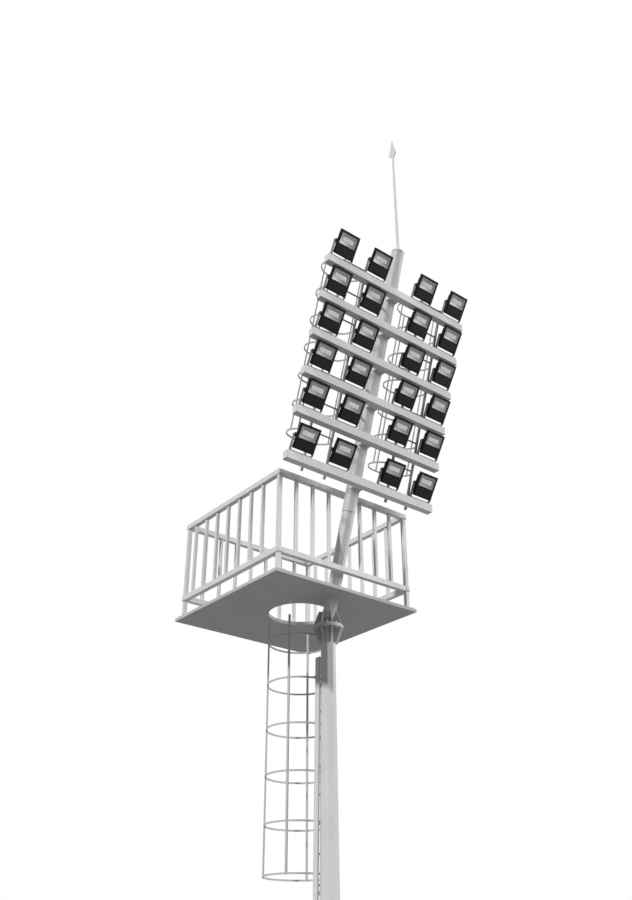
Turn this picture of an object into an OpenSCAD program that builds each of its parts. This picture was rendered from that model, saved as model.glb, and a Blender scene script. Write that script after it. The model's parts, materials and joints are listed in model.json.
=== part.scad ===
// Stadium floodlight pylon: an octagonal mast with a work platform and a forward-leaning
// head that carries six cross arms with twenty-four tilting floodlights.
// Millimetres, +Z up, the front (the side the lamps face) is -Y.
// The origin is the centre of the base plate's underside on the mast axis.

/* [Mast] */
// Radius to the corners of the octagonal mast at the ground
mast_base_radius = 118; // [90:1:170]
// Radius to the corners of the mast at the joint below the platform
mast_top_radius = 78; // [70:1:88]
// Wall of the mast tubes
mast_wall = 6; // [3:0.5:12]
// Height of the bolted joint above the ground
joint_height = 5100; // [4000:50:6000]
// Radius to the corners of the pole above the joint
neck_radius = 75; // [68:1:78]

/* [Base] */
// Radius of the round base plate
base_radius = 250; // [220:5:320]
// Thickness of the base plate
base_thickness = 25; // [15:1:40]
// Circle of the anchor bolts
base_bolt_circle = 420; // [400:5:520]
// Radius of the anchor bolt holes
base_bolt_hole = 14; // [8:1:20]
// Number of anchor bolts and of base gussets
base_bolt_count = 8; // [4, 8]
// Height of the base gussets
base_gusset_height = 240; // [120:10:400]

/* [Joint] */
// Radius of the two joint flanges
flange_radius = 168; // [150:1:190]
// Thickness of each joint flange
flange_thickness = 19; // [10:1:30]
// Circle of the joint bolts
flange_bolt_circle = 284; // [270:1:310]
// Radius of the joint bolt holes
flange_bolt_hole = 9; // [6:0.5:12]
// Number of joint bolts and of gussets on each side of the joint
flange_bolt_count = 8; // [4, 8]
// Height of the gussets on each side of the joint
flange_gusset_height = 160; // [80:5:165]
// Thickness of all gussets
gusset_thickness = 10; // [6:1:14]
// Width left at the thin end of a gusset
gusset_end = 34; // [15:1:50]
// Height of a gusset's upright outer edge
gusset_edge = 12; // [6:1:20]
// Distance of the gussets from the rim they stand on
gusset_inset = 8; // [4:1:14]

/* [Head] */
// Forward lean of the head, degrees from upright
head_tilt = 17.9; // [10:0.1:22]
// Height of the bend above the joint
bend_above_joint = 85; // [60:1:110]
// Radius to the corners of the head pole
head_radius = 80; // [79:1:90]
// Distance of the slip joint from the bend, along the head
slip_from = 1247; // [1000:1:1350]
// Overlap of the slip joint
slip_overlap = 240; // [150:10:300]
// Distance of the head pole's top from the bend, along the head
head_top = 4569; // [4430:1:4900]
// Height of the chamfered cap
cap_height = 16; // [12:1:30]
// Amount the cap narrows from its foot to its top
cap_narrowing = 9; // [5:1:14]
// Radius of the rod's socket on the cap
socket_radius = 29; // [27:1:36]
// Height of the rod's socket
socket_height = 36; // [30:1:50]

/* [Lightning rod] */
// Length of the rod above its socket
rod_length = 1900; // [1000:10:2400]
// Radius of the rod at its foot
rod_foot_radius = 19; // [12:0.5:22]
// Radius of the rod below its spear head
rod_neck_radius = 14; // [8:0.5:16]
// Width of the spear head's flat blade
spear_width = 126; // [60:1:160]
// Thickness of the blade
spear_plate = 16; // [8:1:24]
// Length of the spear head
spear_length = 350; // [200:5:400]
// Distance of the spear head's widest place above its foot
spear_barb = 100; // [60:1:130]

/* [Cross arms] */
// Length of each cross arm
arm_length = 2164; // [2100:2:2600]
// Height of the arm's box section
arm_height = 100; // [80:1:110]
// Depth of the arm's box section, front to back
arm_depth = 85; // [70:1:90]
// Distance of the lowest arm's front edge from the bend, along the head
arm_first = 1541; // [1507:1:1607]
// Distance from the lowest arm to the second
arm_first_gap = 524; // [500:1:560]
// Distance between the other arms
arm_gap = 461; // [450:1:490]
// Distance of the arms' lower front edges in front of the head's axis
arm_reach = 194; // [192:1:215]
// Width of the saddle between arm and pole
saddle_width = 140; // [110:2:150]
// Depth of the saddle behind the arm
saddle_depth = 75; // [70:1:85]
// Height of the saddle
saddle_height = 76; // [60:1:78]

/* [Floodlights] */
// Width of a floodlight's face
lamp_width = 282; // [240:1:300]
// Height of a floodlight's face
lamp_height = 289; // [240:1:300]
// Thickness of the face frame
lamp_face = 24; // [18:1:26]
// Distance of the face's front before the pivot pins
face_ahead = 47; // [44:1:52]
// Lean of the face, degrees from upright
lamp_lean = 32; // [20:1:40]
// Sideways distance of the inner floodlights from the mast
lamp_inner = 376; // [360:1:400]
// Sideways distance of the outer floodlights from the mast
lamp_outer = 894; // [860:1:900]
// Width of the reflector's window in the face
window_width = 234; // [200:1:236]
// Height of the reflector's window in the face
window_height = 139; // [110:1:142]
// Height of the window's middle above the middle of the face
window_rise = 50; // [46:1:54]
// Depth of the reflector
window_depth = 15; // [8:0.5:17]
// Width of the lamp board at the reflector's end
board_width = 160; // [120:1:180]
// Height of the lamp board at the reflector's end
board_height = 52; // [40:1:80]
// Distance of the driver cover from the face's edges
cover_margin = 10; // [6:1:20]
// Distance of the driver cover below the window
cover_gap = 12; // [8:1:20]
// Height of the driver cover above the face
cover_rise = 6; // [3:0.5:8]
// Distance of the finned body from the face's edges
body_margin = 36; // [34:1:50]
// Depth of the body behind the pins' axis
body_depth = 10; // [6:0.5:11]
// Number of cooling fins
fin_count = 11; // [7:2:13]
// Depth of the cooling fins
fin_depth = 26; // [15:1:27]
// Thickness of the cooling fins
fin_plate = 5; // [3:0.5:6]
// Width of the blocks that hold the pins
pivot_block_width = 40; // [34:1:44]
// Height of the blocks that hold the pins
pivot_block_height = 48; // [34:1:60]
// Depth of those blocks behind the pins' axis
pivot_block_depth = 17; // [15:0.5:19]
// Radius of the pivot pins
pin_radius = 8; // [6:0.5:10]
// Running clearance round each pivot pin
pin_clearance = 0.05; // [0.02:0.01:0.1]
// Length of each pin inside its block
pin_root = 10; // [8:1:20]
// Length of each pin outside the yoke
pin_end = 7; // [4:0.5:12]

/* [Yokes] */
// Distance of the pivot above the arm, along the yoke
yoke_height = 192; // [186:1:200]
// Forward lean of the yoke's legs
yoke_lean = 27; // [24:1:30]
// Thickness of the yoke's plate
yoke_plate = 6; // [4:0.5:8]
// Width of the yoke's legs
yoke_leg = 28; // [26:1:32]
// Depth of the yoke's foot on the arm
yoke_foot = 48; // [44:1:50]
// Distance of the yoke's middle behind the arm's front
yoke_setback = 26; // [25:1:40]
// Gap between lamp and leg
yoke_gap = 8; // [7:0.5:12]

/* [Platform] */
// Height of the platform's underside above the joint
platform_above_joint = 300; // [270:5:340]
// Side of the square platform
platform_side = 2000; // [1900:10:2200]
// Thickness of the platform
platform_thickness = 36; // [20:1:50]
// Distance of the platform's centre behind the mast
platform_back = 617; // [607:1:667]
// Radius of the hatch
hatch_radius = 362; // [360:1:370]
// Distance of the hatch and the lower cage behind the mast
hatch_back = 507; // [497:1:527]

/* [Railing] */
// Distance of the rails' middle line from the platform's edge
rail_inset = 75; // [70:1:80]
// Height of the rails' top above the platform's underside
rail_top = 1240; // [1150:5:1250]
// Height of the lower rail's underside above the platform's underside
rail_low = 250; // [200:5:280]
// Side of the square rails
rail_size = 60; // [40:1:62]
// Side of the corner posts
corner_post = 44; // [36:1:56]
// Side of the bars between the two rails
post_size = 34; // [24:1:40]
// Bays of each railing side
rail_bays = 8; // [6:2:10]
// Shift of the side railings' bars towards the back
side_bar_shift = 74; // [0:1:80]

/* [Ladder] */
// Gap between the mast's back corner and the rungs
rung_clearance = 6; // [5:0.5:10]
// Width between the stiles' middle lines at the ladder's top, it widens with the mast
ladder_width = 161; // [150:1:200]
// Gap between the base gussets and the ladder's foot
ladder_foot_gap = 15; // [10:1:100]
// Gap between the ladder's top and the platform's underside
ladder_top_gap = 628; // [610:2:700]
// Distance between rungs
rung_gap = 280; // [250:5:320]
// Radius of the rungs
rung_radius = 10; // [8:0.5:12]
// Depth of the stiles
stile_depth = 68; // [60:1:70]
// Distance of the rungs' middle lines from the stiles' back edges
rung_setback = 12; // [11:0.5:20]
// Width of the stiles
stile_width = 19; // [17:1:24]
// Height of the strips that hold the ladder to the mast
bracket_height = 40; // [30:1:60]
// Thickness of those strips
bracket_plate = 16; // [15:0.5:17]
// Height of the lowest strip above the ladder's foot
bracket_low = 160; // [100:5:220]
// Distance of the middle strip below the lowest hoop
bracket_middle = 200; // [150:5:260]
// Distance of the highest strip below the ladder's top
bracket_high = 330; // [310:5:360]

/* [Ladder cage] */
// Radius of the cage's hoops to their middle line
cage_radius = 355; // [345:1:356]
// Distance between hoops
hoop_gap = 486; // [450:1:520]
// Number of hoops
hoop_count = 6; // [3:1:7]
// Distance of the top hoop below the platform's underside
hoop_first = 344; // [300:2:400]
// Height of a hoop's flat bar
hoop_height = 18; // [12:1:30]
// Thickness of the hoops
hoop_plate = 9; // [6:0.5:12]
// Width of the cage's upright bars
cage_bar = 22; // [16:1:28]
// Depth of the cage's upright bars
cage_bar_depth = 20; // [12:1:24]
// Gap between the upright bars' top and the platform's underside
cage_top_gap = 120; // [100:5:200]
// Turn of the front pair of upright bars from the mast's side
cage_front_turn = 57; // [50:1:70]
// Turn of the back pair of upright bars from the mast's side
cage_back_turn = 127; // [110:1:150]
// Width of the lugs between hoops and stiles
hoop_lug_width = 14; // [10:1:16]

/* [Head ladders] */
// Sideways distance of the head ladders' middle from the mast
head_ladder_side = 620; // [600:2:640]
// Width between the stiles' middle lines
head_ladder_width = 318; // [300:2:330]
// Distance of the stiles in front of the head's axis
head_ladder_front = 52; // [46:1:56]
// Depth of the stiles, front to back
head_stile_depth = 28; // [22:1:30]
// Width of the stiles, sideways
head_stile_width = 22; // [16:1:26]
// Distance of the stiles' lower ends from the bend
head_ladder_low = 1492; // [1477:1:1502]
// Distance of the stiles' upper ends from the bend
head_ladder_top = 4097; // [4095:1:4200]
// Radius of the cages' hoops to their middle line
head_cage_radius = 270; // [255:1:280]
// Distance of the lowest hoop from the bend
head_hoop_low = 1969; // [1957:1:1975]
// Distance between the hoops
head_hoop_gap = 352; // [335:1:352]
// Number of hoops
head_hoop_count = 7; // [5:1:7]
// Width of the cages' upright bars
head_cage_bar = 16; // [12:1:24]
// Side of the lugs that hold the stiles to the arms
lug_size = 30; // [20:1:36]

/* [Hidden] */
$fn = 64;
flat = cos(22.5);
arm_count = 6;
bend_z = joint_height + bend_above_joint;
mast_foot = base_thickness;
mast_head = joint_height - flange_thickness;
rod_y = head_y(head_top + cap_height, 0);
rod_foot = head_z(head_top + cap_height, 0) + socket_height / 2;
rail_half = platform_side / 2 - rail_inset;
rail_bay = 2 * rail_half / rail_bays;
rail_front = platform_back - rail_half;
rail_rear = platform_back + rail_half;
platform_height = joint_height + platform_above_joint;
floor_top = platform_height + platform_thickness;
bar_foot = platform_height + rail_low + rail_size / 2;
bar_length = rail_top - rail_low - rail_size;
ladder_foot = base_thickness + base_gusset_height + ladder_foot_gap;
ladder_top = platform_height - ladder_top_gap;
mast_slope = (mast_base_radius - mast_top_radius) / (mast_head - mast_foot);
ladder_rungs = floor((ladder_top - ladder_foot - 4 * rung_radius) / rung_gap);
cage_low = platform_height - hoop_first - (hoop_count - 1) * hoop_gap;
body_half_width = lamp_width / 2 - body_margin;
body_half_height = lamp_height / 2 - body_margin;
leg_inner = lamp_width / 2 + yoke_gap;
face_back = face_ahead - lamp_face;

// Radius to the mast's corners at a height above the ground
function mast_radius(z) =
    mast_base_radius + (mast_top_radius - mast_base_radius) * (z - mast_foot) / (mast_head - mast_foot);
// Place in the upright frame of a point s along the head and w in front of its axis
function head_y(s, w) = -s * sin(head_tilt) - w * cos(head_tilt);
function head_z(s, w) = bend_z + s * cos(head_tilt) - w * sin(head_tilt);
// Distance of an arm from the bend along the head, the lowest arm is 1
function arm_at(k) = arm_first + (k > 1 ? arm_first_gap : 0) + (k > 2 ? (k - 2) * arm_gap : 0);
function arm_front(k) = head_y(arm_at(k), arm_reach);
function arm_bottom(k) = head_z(arm_at(k), arm_reach);
function lamp_x(c) = [-lamp_outer, -lamp_inner, lamp_inner, lamp_outer][c - 1];
function pivot_y(k) = arm_front(k) + yoke_setback - yoke_height * sin(yoke_lean);
function pivot_z(k) = arm_bottom(k) + arm_height + yoke_height * cos(yoke_lean);
// Middle lines of the rungs behind the mast and of the stiles beside them, which follow the mast's taper
function rung_y(z) = mast_radius(z) + rung_clearance + rung_radius;
function stile_x(z) = ladder_width / 2 + (ladder_top - z) * mast_slope;

// Everything in the head is drawn upright and then leans with it
module head_frame() {
    translate([0, 0, bend_z])
        rotate([head_tilt, 0, 0])
            children();
}

// Octagonal bar that tapers evenly, with its corners on the axes
module tapered_octagon(r1, r2, h) {
    intersection_for (k = [0:3])
        rotate([0, 0, 22.5 + 45 * k])
            rotate([90, 0, 0])
                linear_extrude(height = 4 * max(r1, r2), center = true)
                    polygon([[-r1 * flat, 0], [r1 * flat, 0], [r2 * flat, h], [-r2 * flat, h]]);
}

// Upright plate that stands on a flange and leans against the pole; r1 and r2 are the pole's
// half widths at the flange and at the plate's far end
module gusset(r1, r2, outer, h) {
    rotate([90, 0, 0])
        linear_extrude(height = gusset_thickness, center = true)
            polygon([[r1, 0], [outer, 0], [outer, gusset_edge], [r2 + gusset_end, h], [r2, h]]);
}

module gusset_ring(count, turn, r1, r2, outer, h) {
    for (k = [0:count - 1])
        rotate([0, 0, turn + k * 360 / count])
            gusset(r1, r2, outer, h);
}

module bolt_ring(count, circle_d, r, h) {
    for (k = [0:count - 1])
        rotate([0, 0, k * 360 / count])
            translate([circle_d / 2, 0, -1])
                cylinder(r = r, h = h + 2);
}

module base_plate() {
    color("silver")
        union() {
            difference() {
                cylinder(r = base_radius, h = base_thickness);
                bolt_ring(base_bolt_count, base_bolt_circle, base_bolt_hole, base_thickness);
            }
            translate([0, 0, base_thickness])
                gusset_ring(base_bolt_count, 22.5, mast_base_radius * flat,
                    mast_radius(base_thickness + base_gusset_height) * flat,
                    base_radius - gusset_inset, base_gusset_height);
        }
}

module lower_mast() {
    color("silver")
        translate([0, 0, mast_foot])
            difference() {
                tapered_octagon(mast_base_radius, mast_top_radius, mast_head - mast_foot);
                tapered_octagon(mast_base_radius - mast_wall / flat, mast_top_radius - mast_wall / flat,
                    mast_head - mast_foot);
            }
}

// Welded on the lower mast's end, gussets hanging below
module lower_flange() {
    color("silver")
        union() {
            translate([0, 0, mast_head])
                difference() {
                    cylinder(r = flange_radius, h = flange_thickness);
                    bolt_ring(flange_bolt_count, flange_bolt_circle, flange_bolt_hole, flange_thickness);
                    translate([0, 0, -1])
                        cylinder(r = neck_radius - mast_wall / flat, h = flange_thickness + 2, $fn = 8);
                }
            translate([0, 0, mast_head])
                mirror([0, 0, 1])
                    gusset_ring(flange_bolt_count, 22.5, mast_top_radius * flat,
                        mast_radius(mast_head - flange_gusset_height) * flat,
                        flange_radius - gusset_inset, flange_gusset_height);
        }
}

// Flange with the upright socket that the leaning neck is welded on, gussets standing round it
module upper_flange() {
    color("silver")
        union() {
            translate([0, 0, joint_height])
                difference() {
                    union() {
                        cylinder(r = flange_radius, h = flange_thickness);
                        cylinder(r = neck_radius, h = bend_above_joint, $fn = 8);
                    }
                    bolt_ring(flange_bolt_count, flange_bolt_circle, flange_bolt_hole, flange_thickness);
                    translate([0, 0, -1])
                        cylinder(r = neck_radius - mast_wall / flat, h = bend_above_joint + 2, $fn = 8);
                }
            difference() {
                translate([0, 0, joint_height + flange_thickness])
                    for (k = [0:flange_bolt_count - 1])
                        rotate([0, 0, 22.5 + k * 360 / flange_bolt_count])
                            leaning_gusset();
                translate([0, 0, joint_height])
                    cylinder(r = neck_radius, h = bend_above_joint, $fn = 8);
                neck_body();
            }
        }
}

// Plate from the axis outwards, the neck is cut out of it
module leaning_gusset() {
    outer = flange_radius - gusset_inset;
    h = flange_gusset_height;
    rotate([90, 0, 0])
        linear_extrude(height = gusset_thickness, center = true)
            polygon([[0, 0], [outer, 0], [outer, gusset_edge], [neck_radius * flat + gusset_end, h], [0, h]]);
}

// Space of the leaning neck above its socket
module neck_body() {
    run = slip_from + slip_overlap;
    intersection() {
        head_frame()
            translate([0, 0, -neck_radius])
                cylinder(r = neck_radius, h = run + neck_radius, $fn = 8);
        translate([-2 * neck_radius, -run, bend_z])
            cube([4 * neck_radius, 2 * run, 2 * run]);
    }
}

// Leaning tube, cut level where it stands on the socket
module neck() {
    run = slip_from + slip_overlap;
    color("silver")
        intersection() {
            head_frame()
                difference() {
                    translate([0, 0, -neck_radius])
                        cylinder(r = neck_radius, h = run + neck_radius, $fn = 8);
                    translate([0, 0, -neck_radius - 1])
                        cylinder(r = neck_radius - mast_wall / flat, h = run + neck_radius + 2, $fn = 8);
                }
            translate([-2 * neck_radius, -run, bend_z])
                cube([4 * neck_radius, 2 * run, 2 * run]);
        }
}

module head_pole() {
    color("silver")
        head_frame()
            difference() {
                translate([0, 0, slip_from])
                    cylinder(r = head_radius, h = head_top - slip_from, $fn = 8);
                translate([0, 0, slip_from - 1])
                    cylinder(r = neck_radius, h = head_top - slip_from + 2, $fn = 8);
            }
}

// Chamfered lid with an upright socket for the rod
module mast_cap() {
    color("silver")
        union() {
            head_frame()
                translate([0, 0, head_top])
                    tapered_octagon(head_radius, head_radius - cap_narrowing, cap_height);
            difference() {
                translate([0, rod_y, rod_foot - socket_height])
                    cylinder(r = socket_radius, h = socket_height);
                head_frame()
                    translate([0, 0, head_top - socket_height])
                        cylinder(r = 3 * socket_radius, h = socket_height);
            }
        }
}

module lightning_rod() {
    shaft = rod_length - spear_length;
    color("gainsboro")
        translate([0, rod_y, rod_foot])
            union() {
                rotate_extrude()
                    polygon([[0, 0], [rod_foot_radius, 0], [rod_neck_radius, shaft], [0, shaft + spear_barb]]);
                rotate([90, 0, 90])
                    linear_extrude(height = spear_plate, center = true)
                        polygon([[0, shaft], [spear_width / 2, shaft + spear_barb], [0, rod_length],
                            [-spear_width / 2, shaft + spear_barb]]);
            }
}

module platform_floor() {
    color("dimgray")
        difference() {
            translate([-platform_side / 2, platform_back - platform_side / 2, platform_height])
                cube([platform_side, platform_side, platform_thickness]);
            translate([0, hatch_back, platform_height - 1])
                cylinder(r = hatch_radius, h = platform_thickness + 2);
            head_frame()
                cylinder(r = neck_radius, h = 2 * (floor_top - bend_z), $fn = 8);
        }
}

// Two rails with upright bars between them, along X from the middle
module rail_panel(half, skip_middle, shift) {
    for (z = [rail_low, rail_top - rail_size])
        translate([-half, -rail_size / 2, platform_height + z])
            cube([2 * half, rail_size, rail_size]);
    for (k = [1:rail_bays - 1])
        if (!(skip_middle && k == rail_bays / 2))
            translate([shift - rail_half + k * rail_bay - post_size / 2, -post_size / 2, bar_foot])
                cube([post_size, post_size, bar_length]);
}

module corner_posts() {
    for (x = [-rail_half, rail_half])
        translate([x - corner_post / 2, -corner_post / 2, floor_top])
            cube([corner_post, corner_post, rail_top - rail_size / 2 - platform_thickness]);
}

module railing_front() {
    color("silver")
        translate([0, rail_front, 0])
            rail_panel(rail_half - rail_size / 2, true, 0);
}

module railing_back() {
    color("silver")
        translate([0, rail_rear, 0])
            rail_panel(rail_half - rail_size / 2, false, 0);
}

module railing_side(x) {
    color("silver")
        translate([x, platform_back, 0])
            rotate([0, 0, 90])
                union() {
                    rail_panel(rail_half + rail_size / 2, false, side_bar_shift);
                    corner_posts();
                }
}

module railing_left() {
    railing_side(-rail_half);
}

module railing_right() {
    railing_side(rail_half);
}

module ladder() {
    color("silver")
        union() {
            ladder_stiles(0);
            for (k = [1:ladder_rungs])
                ladder_rung(ladder_foot + k * rung_gap);
            ladder_bracket(ladder_foot + bracket_low);
            ladder_bracket(cage_low - bracket_middle);
            ladder_bracket(ladder_top - bracket_high);
        }
}

// Two bars that lean and spread with the mast's taper
module ladder_stiles(grow) {
    run = ladder_top - ladder_foot;
    for (side = [-1, 1])
        translate([side * stile_x(ladder_top), rung_y(ladder_top), ladder_top])
            rotate([atan(mast_slope), -side * atan(mast_slope), 0])
                translate([-stile_width / 2, rung_setback - stile_depth, -run - grow])
                    cube([stile_width, stile_depth, run + 2 * grow]);
}

module ladder_rung(z) {
    translate([-stile_x(z), rung_y(z), z])
        rotate([0, 90, 0])
            cylinder(r = rung_radius, h = 2 * stile_x(z));
}

// Strip from stile to stile, the mast is cut out of it
module ladder_bracket(z) {
    difference() {
        translate([-stile_x(z), rung_y(z) + rung_setback - stile_depth + 2, z])
            cube([2 * stile_x(z), bracket_plate, bracket_height]);
        translate([0, 0, mast_foot])
            tapered_octagon(mast_base_radius, mast_top_radius, mast_head - mast_foot);
    }
}

module ladder_cage() {
    foot = cage_low - hoop_height / 2;
    color("silver")
        union() {
            for (k = [0:hoop_count - 1])
                translate([0, hatch_back, platform_height - hoop_first - k * hoop_gap])
                    flat_ring(cage_radius);
            for (a = [-cage_back_turn, -cage_front_turn, cage_front_turn, cage_back_turn])
                translate([0, hatch_back, foot])
                    rotate([0, 0, a])
                        translate([-cage_bar / 2, -cage_radius - hoop_plate / 2, 0])
                            cube([cage_bar, cage_bar_depth, platform_height - cage_top_gap - foot]);
            for (k = [1:hoop_count - 1])
                for (side = [-1, 1])
                    hoop_lug(side, platform_height - hoop_first - k * hoop_gap);
        }
}

// Short block between a hoop and the back of a ladder stile
module hoop_lug(side, z) {
    reach = sqrt(pow(cage_radius, 2) - pow(stile_x(z), 2));
    difference() {
        translate([side * stile_x(z) - hoop_lug_width / 2, rung_y(z), z - hoop_height / 2])
            cube([hoop_lug_width, hatch_back - reach - rung_y(z), hoop_height]);
        ladder_stiles(1);
    }
}

module flat_ring(r) {
    translate([0, 0, -hoop_height / 2])
        difference() {
            cylinder(r = r + hoop_plate / 2, h = hoop_height);
            translate([0, 0, -1])
                cylinder(r = r - hoop_plate / 2, h = hoop_height + 2);
        }
}

module cross_arms() {
    color("silver")
        for (k = [1:arm_count])
            translate([-arm_length / 2, arm_front(k), arm_bottom(k)])
                cube([arm_length, arm_depth, arm_height]);
}

// Blocks notched to the pole's front corner, level behind each arm
module arm_saddles() {
    low = (arm_height - saddle_height) / 2;
    color("gray")
        for (k = [1:arm_count])
            difference() {
                translate([-saddle_width / 2, arm_front(k) + arm_depth, arm_bottom(k) + low])
                    cube([saddle_width, saddle_depth, saddle_height]);
                head_frame()
                    translate([0, 0, slip_from])
                        cylinder(r = head_radius, h = head_top - slip_from, $fn = 8);
            }
}

module yoke() {
    difference() {
        union() {
            translate([-leg_inner - yoke_plate, -yoke_foot / 2, 0])
                cube([2 * (leg_inner + yoke_plate), yoke_foot, yoke_plate]);
            for (side = [-1, 1])
                translate([side * (leg_inner + yoke_plate / 2), 0, 0])
                    intersection() {
                        rotate([yoke_lean, 0, 0])
                            union() {
                                translate([-yoke_plate / 2, -yoke_leg / 2, -yoke_leg])
                                    cube([yoke_plate, yoke_leg, yoke_height + yoke_leg]);
                                translate([-yoke_plate / 2, 0, yoke_height])
                                    rotate([0, 90, 0])
                                        cylinder(r = yoke_leg / 2, h = yoke_plate);
                            }
                        translate([-yoke_plate, -2 * yoke_height, 0])
                            cube([2 * yoke_plate, 4 * yoke_height, 2 * yoke_height]);
                    }
        }
        rotate([yoke_lean, 0, 0])
            translate([-lamp_width, 0, yoke_height])
                rotate([0, 90, 0])
                    cylinder(r = pin_radius + pin_clearance, h = 2 * lamp_width);
    }
}

module lamp_yokes() {
    color("gray")
        for (k = [1:arm_count])
            for (c = [1:4])
                translate([lamp_x(c), arm_front(k) + yoke_setback, arm_bottom(k) + arm_height])
                    yoke();
}

// Recess that narrows evenly from the window to the lamp board, front face at Y = 0
module reflector() {
    w = window_width / 2;
    h = window_height / 2;
    intersection() {
        linear_extrude(height = window_height, center = true)
            polygon([[-w, -1], [w, -1], [w, 0], [board_width / 2, window_depth],
                [-board_width / 2, window_depth], [-w, 0]]);
        rotate([90, 0, 90])
            linear_extrude(height = window_width, center = true)
                polygon([[-1, -h], [0, -h], [window_depth, -board_height / 2],
                    [window_depth, board_height / 2], [0, h], [-1, h]]);
    }
}

// Block and pin on one side of a floodlight
module pivot(side) {
    pin_length = pin_root + yoke_gap + yoke_plate + pin_end;
    block = lamp_width / 2 - pivot_block_width;
    translate([side > 0 ? block : -lamp_width / 2, -face_back - 1, -pivot_block_height / 2])
        cube([pivot_block_width, face_back + 1 + pivot_block_depth, pivot_block_height]);
    translate([side * (lamp_width / 2 - pin_root), 0, 0])
        rotate([0, side * 90, 0])
            cylinder(r = pin_radius, h = pin_length);
}

// Face with its reflector, driver cover below, finned body behind and a pin on each side
module floodlight(k, c) {
    fin_step = (2 * body_half_width - fin_plate) / (fin_count - 1);
    cover_low = cover_margin - lamp_height / 2;
    cover_top = window_rise - window_height / 2 - cover_gap;
    color("black")
        translate([lamp_x(c), pivot_y(k), pivot_z(k)])
            rotate([lamp_lean, 0, 0])
                union() {
                    difference() {
                        translate([-lamp_width / 2, -face_ahead, -lamp_height / 2])
                            cube([lamp_width, lamp_face, lamp_height]);
                        translate([0, -face_ahead, window_rise])
                            reflector();
                    }
                    translate([cover_margin - lamp_width / 2, -face_ahead - cover_rise, cover_low])
                        cube([lamp_width - 2 * cover_margin, cover_rise + 1, cover_top - cover_low]);
                    translate([-body_half_width, -face_back - 1, -body_half_height])
                        cube([2 * body_half_width, face_back + 1 + body_depth, 2 * body_half_height]);
                    for (i = [0:fin_count - 1])
                        translate([i * fin_step - body_half_width, body_depth - 1, -body_half_height])
                            cube([fin_plate, fin_depth + 1, 2 * body_half_height]);
                    pivot(-1);
                    pivot(1);
                }
}

module head_stiles(side, grow) {
    for (x = [-head_ladder_width / 2, head_ladder_width / 2])
        translate([side * head_ladder_side + x - head_stile_width / 2,
            -head_ladder_front - head_stile_depth / 2, head_ladder_low - grow])
            cube([head_stile_width, head_stile_depth, head_ladder_top - head_ladder_low + 2 * grow]);
}

module head_ladder(side) {
    left = side * head_ladder_side - head_ladder_width / 2;
    color("silver")
        head_frame()
            union() {
                head_stiles(side, 0);
                for (k = [0:head_hoop_count - 1])
                    translate([left, -head_ladder_front, head_hoop_low + k * head_hoop_gap])
                        rotate([0, 90, 0])
                            cylinder(r = rung_radius, h = head_ladder_width);
            }
}

// Blocks between the arms and the four stiles
module head_ladder_lugs() {
    color("silver")
        for (side = [-1, 1])
            difference() {
                for (k = [1:arm_count])
                    for (x = [-head_ladder_width / 2, head_ladder_width / 2])
                        stile_lug(side * head_ladder_side + x, k);
                head_frame()
                    head_stiles(side, 1);
            }
}

// Level block from an arm's back to the stile behind it
module stile_lug(x, k) {
    z = arm_bottom(k) + arm_height / 2;
    y1 = arm_front(k) + arm_depth;
    y2 = -(z - bend_z) * tan(head_tilt) - head_ladder_front / cos(head_tilt);
    translate([x - head_stile_width / 2 + 1, y1, z - lug_size / 2])
        cube([head_stile_width - 2, y2 - y1, lug_size]);
}

// Hoops behind a head ladder, open between the stiles, with three upright bars
module head_cage(side) {
    middle = side * head_ladder_side;
    back = sqrt(pow(head_cage_radius, 2) - pow(head_ladder_width / 2, 2)) - head_ladder_front;
    foot = head_hoop_low - hoop_height / 2;
    run = (head_hoop_count - 1) * head_hoop_gap + hoop_height;
    open_to = head_stile_depth / 2 - head_ladder_front;
    color("silver")
        head_frame()
            difference() {
                translate([middle, back, 0])
                    union() {
                        for (k = [0:head_hoop_count - 1])
                            translate([0, 0, head_hoop_low + k * head_hoop_gap])
                                flat_ring(head_cage_radius);
                        for (a = [90, 180, 270])
                            rotate([0, 0, a])
                                translate([-head_cage_bar / 2, -head_cage_radius - hoop_plate / 2, foot])
                                    cube([head_cage_bar, hoop_plate, run]);
                    }
                head_stiles(side, 1);
                translate([middle - head_ladder_width / 2, open_to - 3 * head_cage_radius, 0])
                    cube([head_ladder_width, 3 * head_cage_radius, 2 * head_top]);
            }
}

module head_ladder_left() {
    head_ladder(-1);
}

module head_ladder_right() {
    head_ladder(1);
}

module head_cage_left() {
    head_cage(-1);
}

module head_cage_right() {
    head_cage(1);
}

base_plate();
lower_mast();
lower_flange();
upper_flange();
neck();
head_pole();
mast_cap();
lightning_rod();
platform_floor();
railing_front();
railing_back();
railing_left();
railing_right();
ladder();
ladder_cage();
cross_arms();
arm_saddles();
lamp_yokes();
head_ladder_left();
head_ladder_right();
head_ladder_lugs();
head_cage_left();
head_cage_right();
floodlight(1, 1);  // floodlight_1_1
floodlight(1, 2);  // floodlight_1_2
floodlight(1, 3);  // floodlight_1_3
floodlight(1, 4);  // floodlight_1_4
floodlight(2, 1);  // floodlight_2_1
floodlight(2, 2);  // floodlight_2_2
floodlight(2, 3);  // floodlight_2_3
floodlight(2, 4);  // floodlight_2_4
floodlight(3, 1);  // floodlight_3_1
floodlight(3, 2);  // floodlight_3_2
floodlight(3, 3);  // floodlight_3_3
floodlight(3, 4);  // floodlight_3_4
floodlight(4, 1);  // floodlight_4_1
floodlight(4, 2);  // floodlight_4_2
floodlight(4, 3);  // floodlight_4_3
floodlight(4, 4);  // floodlight_4_4
floodlight(5, 1);  // floodlight_5_1
floodlight(5, 2);  // floodlight_5_2
floodlight(5, 3);  // floodlight_5_3
floodlight(5, 4);  // floodlight_5_4
floodlight(6, 1);  // floodlight_6_1
floodlight(6, 2);  // floodlight_6_2
floodlight(6, 3);  // floodlight_6_3
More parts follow.
